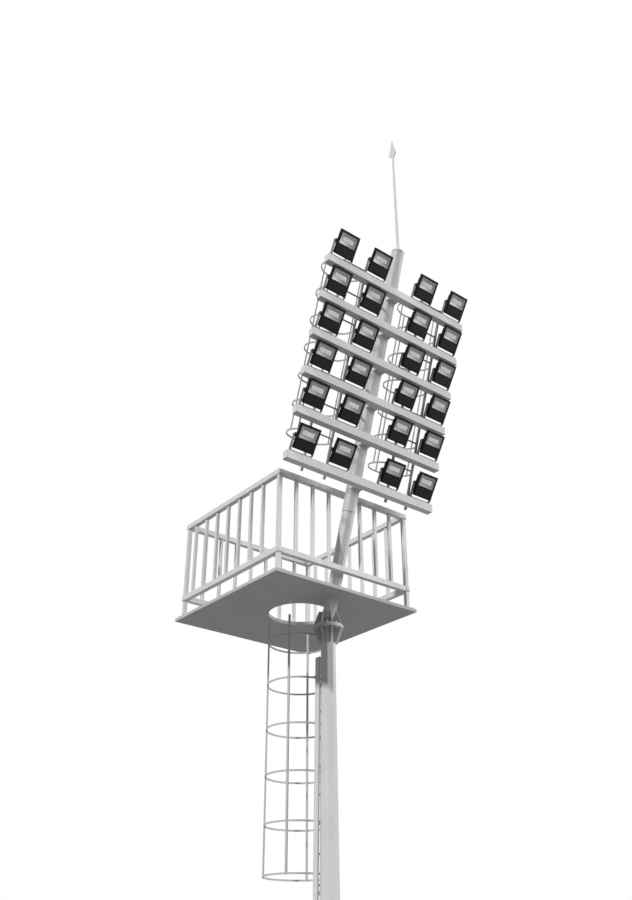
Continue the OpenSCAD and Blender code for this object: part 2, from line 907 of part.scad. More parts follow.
floodlight(6, 4);  // floodlight_6_4
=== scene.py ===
"""Stadium floodlight pylon: finishes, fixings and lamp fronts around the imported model, and its stage."""

import json
import math

import bmesh
import bpy
from bpy.props import FloatProperty, FloatVectorProperty, IntProperty, PointerProperty
from mathutils import Matrix, Vector


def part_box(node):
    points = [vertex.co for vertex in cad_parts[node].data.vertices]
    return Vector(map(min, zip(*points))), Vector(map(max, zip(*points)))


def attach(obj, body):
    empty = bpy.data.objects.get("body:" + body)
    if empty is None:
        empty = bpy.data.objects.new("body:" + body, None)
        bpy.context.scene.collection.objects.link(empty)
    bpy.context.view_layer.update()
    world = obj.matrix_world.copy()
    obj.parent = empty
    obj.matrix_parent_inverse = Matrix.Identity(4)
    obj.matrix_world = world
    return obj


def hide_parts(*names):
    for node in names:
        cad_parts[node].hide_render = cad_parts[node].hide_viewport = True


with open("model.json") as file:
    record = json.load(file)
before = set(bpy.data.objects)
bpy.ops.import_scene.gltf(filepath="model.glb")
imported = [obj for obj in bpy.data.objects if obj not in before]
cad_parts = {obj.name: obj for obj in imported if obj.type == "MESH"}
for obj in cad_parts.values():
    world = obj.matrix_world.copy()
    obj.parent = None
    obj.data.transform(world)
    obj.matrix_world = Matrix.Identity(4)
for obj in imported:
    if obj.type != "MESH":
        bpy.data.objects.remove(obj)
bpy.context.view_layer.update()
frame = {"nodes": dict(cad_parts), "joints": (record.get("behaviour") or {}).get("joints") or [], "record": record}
PYLON = "pylon"
JOINTS = {joint["child"]: Vector(joint["pos_m"]) for joint in frame["joints"]}
BOLTS = next(m for m in frame["record"]["mounts"] if m["kind"] == "bolt_pattern")

bl_info = {
    "name": "Stadium floodlight pylon",
    "version": (1, 0, 0),
    "blender": (4, 5, 0),
    "location": "View3D > Sidebar > Pylon",
    "description": "Finishes, fixings and lamp fronts for a floodlight pylon",
    "category": "Object",
}


def length(name, description, default):
    return FloatProperty(name=name, description=description, default=default, min=0.0, unit="LENGTH")


def angle(name, description, default):
    return FloatProperty(name=name, description=description, default=math.radians(default), unit="ROTATION")


def colour(name, description, default):
    return FloatVectorProperty(
        name=name, description=description, subtype="COLOR", size=3, min=0.0, max=1.0, default=default
    )


def strength(name, description, default):
    return FloatProperty(name=name, description=description, default=default, min=0.0)


def direction(name, description, default):
    return FloatVectorProperty(
        name=name, description=description, subtype="DIRECTION", size=3, default=default
    )


class PylonFinishes(bpy.types.PropertyGroup):
    """Colours of the paints and metals."""

    mast: colour("Mast", "Satin paint on the mast tubes", (0.56, 0.56, 0.555))
    arms: colour("Arms", "Satin paint on the cross arms", (0.6, 0.6, 0.595))
    zinc: colour("Zinc", "Galvanised rails and lower ladder", (0.58, 0.58, 0.58))
    # Painted shade: zinc darker than the rails' zinc, for the flanges and the lower cage, which sit in shade under
    # the platform; the base plate shares it.
    dull_zinc: colour("Zinc darkened for shade", "Zinc darkened as painted shade on the lower cage and the flanges", (0.46, 0.46, 0.46))
    aged_zinc: colour("Aged zinc", "Darker zinc of the head ladders", (0.36, 0.36, 0.36))
    platform: colour("Platform", "Matt paint on the platform", (0.44, 0.44, 0.436))
    yokes: colour("Yokes", "Dark zinc on the yokes", (0.2, 0.2, 0.2))
    lamps: colour("Lamps", "Powder coat on the floodlights", (0.006, 0.006, 0.006))
    reflectors: colour("Reflectors", "Pressed reflector sheet", (0.2, 0.2, 0.2))
    boards: colour("Boards", "Lamp boards", (0.92, 0.92, 0.92))
    bolts: colour("Bolts", "Zinc plated bolts and nuts", (0.42, 0.42, 0.415))


class PylonHead(bpy.types.PropertyGroup):
    """Place of the leaning head."""

    tilt: angle("Tilt", "Lean of the head from upright", 17.9)
    bend: length("Bend", "Height of the bend above the ground", 5.185)
    neck: length("Neck", "Radius to the neck's corners", 0.075)
    pole: length("Pole", "Radius to the head pole's corners", 0.080)
    top: length("Top", "Distance of the pole's top from the bend", 4.569)
    ladder_side: length("Ladder side", "Sideways place of the head ladders", 0.62)
    cage_back: length("Cage back", "Distance of the cage's middle behind the head axis", 0.1662)
    cage_radius: length("Cage radius", "Radius of the head cages' hoops", 0.27)
    hoop_low: length("Lowest hoop", "Distance of the lowest hoop from the bend", 1.969)
    hoop_gap: length("Hoop gap", "Distance between the hoops", 0.352)
    hoops: IntProperty(name="Hoops", description="Hoops of each head cage", default=7, min=1)


class PylonFixings(bpy.types.PropertyGroup):
    """Sizes of bolts and weld seams."""

    anchor: length("Anchor bolt", "Radius of the anchor studs", 0.012)
    joint: length("Joint bolt", "Radius of the bolts in the flange joint", 0.008)
    joint_circle: length("Joint circle", "Radius of the joint's bolt circle", 0.142)
    flange: length("Flange", "Thickness of each of the joint's flanges", 0.02)
    tube: length("Tube", "Radius to the mast's corners at the joint", 0.08)
    small: length("Small bolt", "Radius of the bolts on hoops, feet and yokes", 0.006)
    bead: length("Weld seam", "Radius of the weld seams", 0.005)


class PylonLamp(bpy.types.PropertyGroup):
    """Sizes of a floodlight's front."""

    lean: angle("Lean", "Lean of the face at rest", 32.0)
    face: length("Face", "Distance of the face in front of the pivot", 0.047)
    width: length("Width", "Width of the face", 0.282)
    height: length("Height", "Height of the face", 0.289)
    window_width: length("Window width", "Width of the window", 0.234)
    window_height: length("Window height", "Height of the window", 0.139)
    window_rise: length("Window rise", "Height of the window's middle above the pivot", 0.05)
    depth: length("Depth", "Depth of the reflector", 0.015)
    board_width: length("Board width", "Width of the lamp board", 0.16)
    board_height: length("Board height", "Height of the lamp board", 0.052)
    yoke_height: length("Yoke height", "Distance of the pivot above the arm", 0.192)
    yoke_lean: angle("Yoke lean", "Forward lean of the yoke's legs", 27.0)
    yoke_setback: length("Yoke setback", "Distance of the yoke's middle behind the arm's front", 0.026)
    yoke_side: length("Yoke side", "Sideways distance of the yoke's outer face", 0.155)
    yoke_plate: length("Yoke plate", "Thickness of the yoke's bar", 0.008)


class PylonStage(bpy.types.PropertyGroup):
    """Camera and light."""

    camera: FloatVectorProperty(
        name="Camera", description="Place of the camera", subtype="TRANSLATION", size=3,
        default=(-6.3807, -7.788, 1.5986),
    )
    yaw: angle("Yaw", "Turn of the view from the front to the right", 38.574)
    pitch: angle("Pitch", "Upward slope of the view", 29.769)
    lens: FloatProperty(
        name="Lens", description="Focal length for a 36 mm high picture", default=38.073, unit="CAMERA"
    )
    key: strength("Key", "Strength of the sun from the left", 3.6)
    key_from: direction("Key from", "Direction that the sun comes from", (-1.0, -0.15, 1.033))
    key_spread: angle("Key spread", "Width of the sun in the sky", 3.0)
    fill: strength("Fill", "Strength of the soft light from the right", 2.6)
    fill_from: direction("Fill from", "Direction that the soft light comes from", (0.7, -0.71, 0.3))
    fill_spread: angle("Fill spread", "Width of the soft light", 30.0)
    sky: strength("Sky", "Even light from all round", 0.21)
    floor: length("Floor", "Radius of the floor", 60.0)


class Shade:
    """A value in a finish; sums on it add Math nodes."""

    def __init__(self, finish, socket):
        self.finish = finish
        self.socket = socket

    def sum(self, operation, *values):
        return self.finish.node("ShaderNodeMath", {"operation": operation}, dict(enumerate(values)))

    def __add__(self, other):
        return self.sum("ADD", self, other)

    def __radd__(self, other):
        return self.sum("ADD", other, self)

    def __sub__(self, other):
        return self.sum("SUBTRACT", self, other)

    def __rsub__(self, other):
        return self.sum("SUBTRACT", other, self)

    def __mul__(self, other):
        return self.sum("MULTIPLY", self, other)

    def __rmul__(self, other):
        return self.sum("MULTIPLY", other, self)

    def __lt__(self, other):
        return self.sum("LESS_THAN", self, other)

    def __abs__(self):
        return self.sum("ABSOLUTE", self)

    def rise(self, low, high):
        """0 below low, 1 above high, smooth between."""
        sockets = {"Value": self, "From Min": low, "From Max": high}
        return self.finish.node("ShaderNodeMapRange", {"interpolation_type": "SMOOTHSTEP"}, sockets)


class Finish:
    """The nodes of a new material, or of a world, being built up."""

    def __init__(self, name, world=None):
        self.owner = world or bpy.data.materials.new(name)
        self.owner.use_nodes = True
        self.tree = self.owner.node_tree
        self.tree.nodes.clear()

    def node(self, kind, settings=None, sockets=None, out=0):
        """Adds a node: its settings first, then the values or links of its sockets."""
        made = self.tree.nodes.new(kind)
        for key, value in (settings or {}).items():
            setattr(made, key, value)
        for key, value in (sockets or {}).items():
            if isinstance(value, Shade):
                self.tree.links.new(value.socket, made.inputs[key])
            else:
                made.inputs[key].default_value = value
        return Shade(self, made.outputs[out])

    def place(self):
        return self.node("ShaderNodeTexCoord", out="Object")

    def axis(self, vector, letter):
        return self.node("ShaderNodeSeparateXYZ", sockets={0: vector}, out=letter)

    def stretched(self, vector, scale):
        return self.node("ShaderNodeMapping", sockets={"Vector": vector, "Scale": scale})

    def noise(self, vector, scale, detail=3.0, rough=0.55):
        sockets = {"Vector": vector, "Scale": scale, "Detail": detail, "Roughness": rough}
        return self.node("ShaderNodeTexNoise", sockets=sockets)

    def blend(self, share, first, second):
        """Mixes two colours, given as three numbers or as links."""
        tones = [tone if isinstance(tone, Shade) else (*tone, 1.0) for tone in (first, second)]
        return self.node("ShaderNodeMix", {"data_type": "RGBA"}, {0: share, 6: tones[0], 7: tones[1]}, out=2)

    def bump(self, height, strength, distance):
        sockets = {"Height": height, "Strength": strength, "Distance": distance}
        return self.node("ShaderNodeBump", sockets=sockets)

    def surface(self, **sockets):
        """Ends a material in a Principled shader; an underscore stands for a space in a socket's name."""
        named = {socket.replace("_", " "): value for socket, value in sockets.items()}
        self.show(self.node("ShaderNodeBsdfPrincipled", sockets=named), "ShaderNodeOutputMaterial")
        return self.owner

    def show(self, shader, kind):
        """Links a shader to the output of a material or a world."""
        self.tree.links.new(shader.socket, self.tree.nodes.new(kind).inputs["Surface"])


def tone(base, factor):
    return tuple(min(1.0, part * factor) for part in base)


def satin_paint(name, base):
    """Sprayed paint on steel: cloudy, faint rain streaks, fine orange peel."""
    f = Finish(name)
    place = f.place()
    cloud = f.noise(place, 1.7, 4.0)
    streak = f.noise(f.stretched(place, (26.0, 26.0, 0.9)), 1.0, 3.0).rise(0.52, 0.74)
    speck = f.noise(place, 95.0, 2.0).rise(0.66, 0.74)
    grain = f.noise(place, 420.0, 2.0)
    body = f.blend(cloud.rise(0.3, 0.7), tone(base, 0.95), tone(base, 1.05))
    body = f.blend(streak * 0.35, body, tone(base, 0.82))
    body = f.blend(speck * 0.4, body, tone(base, 0.7))
    return f.surface(
        Base_Color=body,
        Roughness=0.42 + cloud * 0.16 + streak * 0.08,
        Specular_IOR_Level=0.2,
        Normal=f.bump(grain, 0.12, 0.0006),
    )


def galvanised_steel(name, base):
    """Hot-dip zinc: spangled crystals, matt patches and runs."""
    f = Finish(name)
    place = f.place()
    crystal = f.node("ShaderNodeTexVoronoi", sockets={"Vector": place, "Scale": 85.0}, out="Color")
    spangle = f.axis(crystal, "X")
    cloud = f.noise(place, 3.1, 4.0)
    runs = f.noise(f.stretched(place, (40.0, 40.0, 2.2)), 1.0, 3.0).rise(0.5, 0.75)
    body = f.blend(spangle, tone(base, 0.93), tone(base, 1.06))
    body = f.blend(cloud.rise(0.42, 0.72) * 0.45, body, tone(base, 0.86))
    body = f.blend(runs * 0.25, body, tone(base, 1.12))
    return f.surface(
        Base_Color=body,
        Metallic=0.02 + spangle * 0.05,
        Roughness=0.44 + cloud * 0.2 + spangle * 0.06,
        Specular_IOR_Level=0.2,
        Normal=f.bump(cloud + spangle * 0.15, 0.1, 0.002),
    )


def platform_paint(name, base):
    """Matt floor paint: scuffed on top, plain with faint rolling marks below."""
    f = Finish(name)
    place = f.place()
    top = f.axis(f.node("ShaderNodeNewGeometry", out="Normal"), "Z").rise(0.5, 0.9)
    cloud = f.noise(place, 2.2, 5.0)
    scuff = f.noise(f.stretched(place, (9.0, 42.0, 9.0)), 1.0, 4.0).rise(0.5, 0.68)
    rolled = f.noise(f.stretched(place, (3.0, 60.0, 3.0)), 1.0, 2.0)
    body = f.blend(cloud.rise(0.3, 0.7), tone(base, 0.94), tone(base, 1.05))
    body = f.blend(scuff * top * 0.5, body, tone(base, 1.35))
    return f.surface(
        Base_Color=body,
        Roughness=0.62 + cloud * 0.12 - scuff * top * 0.2,
        Specular_IOR_Level=0.15,
        Normal=f.bump(rolled + cloud * 0.4, 0.08, 0.002),
    )


def dark_zinc(name, base):
    """Passivated zinc plate: mottled dark grey."""
    f = Finish(name)
    place = f.place()
    cloud = f.noise(place, 14.0, 4.0)
    fleck = f.noise(place, 160.0, 2.0)
    body = f.blend(cloud.rise(0.3, 0.7), tone(base, 0.88), tone(base, 1.12))
    return f.surface(
        Base_Color=f.blend(fleck.rise(0.62, 0.7) * 0.5, body, tone(base, 1.3)),
        Metallic=0.2 + cloud * 0.1,
        Roughness=0.3 + cloud * 0.2,
        Specular_IOR_Level=0.2,
        Normal=f.bump(fleck, 0.1, 0.0006),
    )


def powder_coat(name, base):
    """Black powder coat: fine leather-like grain and a little dust."""
    f = Finish(name)
    place = f.place()
    grain = f.node("ShaderNodeTexVoronoi", {"feature": "SMOOTH_F1"}, {"Vector": place, "Scale": 620.0})
    dust = f.noise(place, 7.0, 4.0)
    up = f.axis(f.node("ShaderNodeNewGeometry", out="Normal"), "Z").rise(0.1, 0.9)
    body = f.blend(dust.rise(0.4, 0.7) * (0.1 + up * 0.5), base, tone(base, 4.0))
    return f.surface(
        Base_Color=body,
        Roughness=0.5 + dust * 0.2 + up * 0.1,
        Specular_IOR_Level=0.1,
        Normal=f.bump(grain, 0.15, 0.0005),
    )


def plated_bolts(name, base):
    """Zinc plated fasteners: brushed flats with duller hollows."""
    f = Finish(name)
    place = f.place()
    cloud = f.noise(place, 60.0, 3.0)
    turned = f.noise(f.stretched(place, (30.0, 30.0, 900.0)), 1.0, 2.0)
    return f.surface(
        Base_Color=f.blend(cloud.rise(0.35, 0.7), tone(base, 0.8), tone(base, 1.25)),
        Metallic=0.15 + cloud * 0.15,
        Roughness=0.42 + cloud * 0.25,
        Specular_IOR_Level=0.3,
        Normal=f.bump(turned, 0.08, 0.0004),
    )


def weld_metal(name, base):
    """Painted-over weld seam: rippled and a shade darker than the tube."""
    f = Finish(name)
    place = f.place()
    ripple = f.noise(place, 180.0, 2.0)
    cloud = f.noise(place, 22.0, 3.0)
    return f.surface(
        Base_Color=f.blend(cloud.rise(0.35, 0.7), tone(base, 0.78), tone(base, 0.96)),
        Roughness=0.5 + ripple * 0.2,
        Normal=f.bump(ripple, 0.5, 0.0012),
    )


def lamp_optic(name, sheet, board, lamp):
    """Satin reflector sheet with a pale lamp board in its middle, by place on the lamp."""
    f = Finish(name)
    place = f.place()
    x, z = f.axis(place, "X"), f.axis(place, "Z") - lamp.window_rise
    inside = (abs(x) < lamp.board_width / 2) * (abs(z) < lamp.board_height / 2)
    brushed = f.noise(f.stretched(place, (20.0, 20.0, 500.0)), 1.0, 3.0)
    cloud = f.noise(place, 24.0, 3.0)
    metal = f.blend(brushed, tone(sheet, 0.88), tone(sheet, 1.12))
    pale = f.blend(cloud.rise(0.35, 0.7), tone(board, 0.96), tone(board, 1.03))
    return f.surface(
        Base_Color=f.blend(inside, metal, pale),
        Metallic=(1 - inside) * 0.35,
        Roughness=0.36 + brushed * 0.1 + inside * 0.2,
        Normal=f.bump(brushed, 0.06, 0.0004),
    )


def window_glass(name):
    """Clear front glass with a thin film of dust."""
    f = Finish(name)
    film = f.noise(f.place(), 30.0, 4.0)
    return f.surface(
        Base_Color=f.blend(film, (0.5, 0.5, 0.5), (0.75, 0.75, 0.75)),
        Roughness=0.08 + film * 0.12,
        Alpha=0.05 + film.rise(0.4, 0.8) * 0.05,
    )


FINISH = {}


def finishes():
    """The finishes by name, made once."""
    if "mast" not in FINISH:
        c = bpy.context.scene.pylon_finishes
        FINISH["mast"] = satin_paint("Mast paint", c.mast)
        FINISH["arms"] = satin_paint("Arm paint", c.arms)
        FINISH["zinc"] = galvanised_steel("Galvanised steel", c.zinc)
        # Painted shade: a darker copy of the galvanised zinc.
        FINISH["dull"] = galvanised_steel("Zinc darkened for shade", c.dull_zinc)
        FINISH["aged"] = galvanised_steel("Aged zinc", c.aged_zinc)
        FINISH["platform"] = platform_paint("Platform paint", c.platform)
        FINISH["yokes"] = dark_zinc("Dark zinc", c.yokes)
        FINISH["lamps"] = powder_coat("Black powder coat", c.lamps)
        FINISH["bolts"] = plated_bolts("Plated bolts", c.bolts)
        FINISH["seams"] = weld_metal("Weld seams", c.mast)
        lamp = bpy.context.scene.pylon_lamp
        FINISH["optic"] = lamp_optic("Reflector and board", c.reflectors, c.boards, lamp)
        FINISH["glass"] = window_glass("Window glass")
    return FINISH


MM = 0.001
# Radius to a nut's corners, for a bolt of radius 1
NUT = 1.75
# Chamfer of caps, feet and the hatch's rim
CHAMFER = 2 * MM
# Caps in the ends of rails and arms: thickness, margin to the tube's sides, middle outside the tube's end
CAP_THICK = 6 * MM
CAP_MARGIN = 4 * MM
CAP_MIDDLE = 2.5 * MM
# Turns from a hoop's front, in degrees, of the bars that are bolted to it
LOWER_CAGE_BOLTS = (-127, -57, 57, 127)
HEAD_CAGE_BOLTS = (90, 180, 270)
# Corners of a rectangle, in turn
CORNERS = ((1, 1), (-1, 1), (-1, -1), (1, -1))
# Turned pieces of a floodlight, as pairs of radius and height
LENS = ((0.006, 0), (0.0055, 0.0018), (0.0038, 0.0032), (0.0015, 0.0038))
FRAME_SCREW = ((0.0034, 0), (0.0032, 0.001), (0.0018, 0.0015))
COVER_SCREW = ((0.005, 0), (0.0048, 0.0012), (0.0028, 0.0022))
GLAND = ((0.0066, 0), (0.0064, 0.007), (0.0045, 0.011))
PIVOT_WASHER = ((0.0135, 0), (0.0135, 0.0012), (0.0128, 0.0016))
PIVOT_CAP = ((0.0098, 0), (0.009, 0.0014), (0.006, 0.0022))
# Section of the window's frame, as pairs of distance outside the window's edge and height over the face
FRAME = ((0.009, 0), (0.009, 0.002), (0.0075, 0.0035), (-0.001, 0.0035), (-0.002, 0.0025), (-0.002, 0))
# Heights of the cover's screws from the pivot, and the gland's place from the middle of the lower edge
COVER_SCREW_PLACES = (-0.045, -0.122)
GLAND_PLACE = (0.055, 0.004, 0.036)


def cut_corners(a, b, c):
    """Rectangle that reaches a and b from its middle, with its corners cut by c."""
    right = [(a, c - b), (a, b - c), (a - c, b), (c - a, b)]
    return right + [(-x, -y) for x, y in right]


class Maker:
    """Collects like pieces into one mesh."""

    def __init__(self):
        self.bm = bmesh.new()

    def skin(self, loops, matrix=Matrix(), ends=True, ring=False):
        """Joins equal loops of points with quads."""
        rows = [[self.bm.verts.new(matrix @ Vector(point)) for point in loop] for loop in loops]
        pairs = list(zip(rows, rows[1:])) + ([(rows[-1], rows[0])] if ring else [])
        for low, high in pairs:
            for i in range(len(low)):
                j = (i + 1) % len(low)
                self.bm.faces.new((low[i], low[j], high[j], high[i]))
        if ends and not ring:
            self.bm.faces.new(rows[0][::-1])
            self.bm.faces.new(rows[-1])

    def turned(self, matrix, profile, sides, ring=False):
        """Turned piece from pairs of radius and height."""
        turns = [2 * math.pi * i / sides for i in range(sides)]
        loops = [[(r * math.cos(t), r * math.sin(t), z) for t in turns] for r, z in profile]
        self.skin(loops, matrix, ring=ring)

    def nut(self, matrix, radius, height):
        """Chamfered hexagon; radius is to its corners."""
        c = 0.12 * radius
        self.turned(matrix, [(radius - c, 0), (radius, c), (radius, height - c), (radius - c, height)], 6)

    def bolt(self, matrix, radius, stud=0.0):
        """Washer, nut and the end of the stud on a face whose outward direction is the matrix's Z."""
        wide, thick = 2.1 * radius, 0.35 * radius
        self.turned(matrix, [(wide, 0), (wide, thick - 0.1 * radius), (wide - 0.1 * radius, thick)], 18)
        self.nut(matrix @ at(0, 0, thick), NUT * radius, 1.5 * radius)
        if stud:
            c = 0.2 * radius
            self.turned(matrix, [(radius, 0), (radius, stud - c), (radius - c, stud)], 14)

    def block(self, matrix, size, chamfer):
        """Box on its middle with all edges chamfered."""
        x, y, z = (part / 2 for part in size)
        full, less = cut_corners(x, y, chamfer), cut_corners(x - chamfer, y - chamfer, chamfer)
        levels = ((less, -z), (full, chamfer - z), (full, z - chamfer), (less, z))
        self.skin([[(px, py, level) for px, py in outline] for outline, level in levels], matrix)

    def seam(self, points, radius, closed=True, sides=7):
        """Weld seam along a path, with the ripples of the passes."""
        path = [Vector(p) for p in points]
        loops = []
        for i, point in enumerate(path):
            ahead = path[(i + 1) % len(path)] if closed or i + 1 < len(path) else point
            behind = path[i - 1] if closed or i else point
            along = (ahead - behind).normalized()
            steep = abs(along.z) > 0.9
            side = (along.orthogonal() if steep else along.cross(Vector((0, 0, 1)))).normalized()
            up = side.cross(along)
            r = radius * (1.0 + 0.14 * math.sin(2.4 * i))
            turns = [2 * math.pi * k / sides for k in range(sides)]
            loops.append([point + side * (r * math.cos(t)) + up * (r * math.sin(t)) for t in turns])
        self.skin(loops, ends=not closed, ring=closed)

    def mesh(self, name, finish, sharp=35.0):
        bmesh.ops.recalc_face_normals(self.bm, faces=self.bm.faces)
        made = bpy.data.meshes.new(name)
        self.bm.to_mesh(made)
        self.bm.free()
        made.materials.append(finish)
        made.polygons.foreach_set("use_smooth", [True] * len(made.polygons))
        made.set_sharp_from_angle(angle=math.radians(sharp))
        return made

    def piece(self, name, finish, slot="", body=PYLON):
        return put(name, self.mesh(name, finish), body)


def put(name, mesh, body=PYLON, matrix=None):
    """A piece in the scene that rides on a body."""
    piece = bpy.data.objects.new(name, mesh)
    bpy.context.scene.collection.objects.link(piece)
    if matrix:
        piece.matrix_world = matrix
    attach(piece, body)
    return piece


def coat(finish, *nodes):
    """Gives CAD nodes a finish."""
    for node in nodes:
        materials = frame["nodes"][node].data.materials
        materials.clear()
        materials.append(finish)


def at(x, y, z):
    return Matrix.Translation((x, y, z))


def turned_by(turn, axis="Z"):
    return Matrix.Rotation(turn, 4, axis)


def facing(out):
    """Turns Z to a direction."""
    return Vector(out).to_track_quat("Z", "Y").to_matrix().to_4x4()


def octagon(radius, steps):
    """Points round an octagon with its corners on the axes."""
    turns = [k * math.pi / 4 for k in range(8)]
    corners = [Vector((math.cos(t), math.sin(t), 0)) * radius for t in turns]
    return [corners[k].lerp(corners[(k + 1) % 8], i / steps) for k in range(8) for i in range(steps)]


def rounded(width, height, radius, steps=4):
    """Points round a rectangle with rounded corners, as X and Z pairs."""
    points = []
    for k, (sx, sz) in enumerate(CORNERS):
        for i in range(steps + 1):
            t = math.pi / 2 * (k + i / steps)
            points.append((
                sx * (width / 2 - radius) + radius * math.cos(t),
                sz * (height / 2 - radius) + radius * math.sin(t),
            ))
    return points


def head_frame():
    head = bpy.context.scene.pylon_head
    return at(0, 0, head.bend) @ turned_by(head.tilt, "X")


class PYLON_OT_mast(bpy.types.Operator):
    """Paints the mast and the head pole and lays their weld seams"""

    bl_idname = "pylon.mast"
    bl_label = "Mast"

    washer: length("Washer", "Radius of the washer under the lightning rod's nut", 0.0285)
    thick: length("Thickness", "Thickness of that washer", 0.004)
    nut: length("Nut", "Height of the lightning rod's nut", 0.014)

    def execute(self, context):
        finish = finishes()
        head = context.scene.pylon_head
        fix = context.scene.pylon_fixings
        coat(finish["mast"], "lower_mast", "neck", "head_pole", "mast_cap")
        coat(finish["zinc"], "lightning_rod")
        foot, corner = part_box("lower_mast")
        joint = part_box("lower_flange")[1].z
        seams = Maker()
        for place, radius, share, steps in (
            (at(0, 0, foot.z), corner.x + 2 * MM, 1.2, 14),
            (at(0, 0, head.bend), head.neck, 0.8, 10),
            (at(0, 0, joint - fix.flange), fix.tube, 1.0, 10),
            (at(0, 0, joint + fix.flange), head.neck + MM, 1.0, 10),
            (head_frame() @ at(0, 0, head.top), head.pole, 0.7, 10),
        ):
            seams.seam([place @ point for point in octagon(radius, steps)], fix.bead * share)
        seams.piece("mast_seams", finish["seams"], "mast_grey")
        self.rod_nut().piece("rod_nut", finish["zinc"], "galvanised")
        return {"FINISHED"}

    def rod_nut(self):
        """Washer and nut round the foot of the lightning rod."""
        low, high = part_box("lightning_rod")
        stand = at((low.x + high.x) / 2, (low.y + high.y) / 2, low.z)
        washer, thick = self.washer, self.thick
        nut = Maker()
        nut.turned(stand, [(washer, 0), (washer, thick - MM), (washer - 1.5 * MM, thick)], 24)
        nut.nut(stand @ at(0, 0, thick), washer - 2 * MM, self.nut)
        return nut


class PYLON_OT_base(bpy.types.Operator):
    """Finishes the foot and the flange joint and sets their bolts"""

    bl_idname = "pylon.base"
    bl_label = "Base and joint"

    stud: length("Stud", "Height of the anchor studs above the base plate", 0.075)
    joint_stud: length("Joint stud", "Height of the joint's bolts above the flange", 0.026)

    def execute(self, context):
        finish = finishes()
        fix = context.scene.pylon_fixings
        # The base plate and the flanges take the zinc darkened as painted shade.
        coat(finish["dull"], "base_plate", "lower_flange", "upper_flange")
        count = int(BOLTS["dims"]["count"])
        reach = BOLTS["dims"]["pcd_mm"] / 2000
        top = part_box("lower_mast")[0].z
        low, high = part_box("lower_flange")[1].z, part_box("upper_flange")[0].z
        face = fix.flange - MM
        anchors, joint = Maker(), Maker()
        for k in range(count):
            turn = 2 * math.pi * k / count
            spot = at(reach * math.cos(turn), reach * math.sin(turn), top) @ turned_by(0.7 * k)
            anchors.bolt(spot, fix.anchor, self.stud)
            lock = spot @ at(0, 0, 1.9 * fix.anchor) @ turned_by(0.3)
            anchors.nut(lock, NUT * fix.anchor, fix.anchor)
            x, y = fix.joint_circle * math.cos(turn), fix.joint_circle * math.sin(turn)
            joint.bolt(at(x, y, high + face) @ turned_by(k), fix.joint, self.joint_stud)
            joint.bolt(at(x, y, low - face) @ turned_by(math.pi, "X") @ turned_by(k), fix.joint)
        anchors.piece("anchor_bolts", finish["bolts"], "galvanised")
        joint.piece("joint_bolts", finish["bolts"], "galvanised")
        return {"FINISHED"}


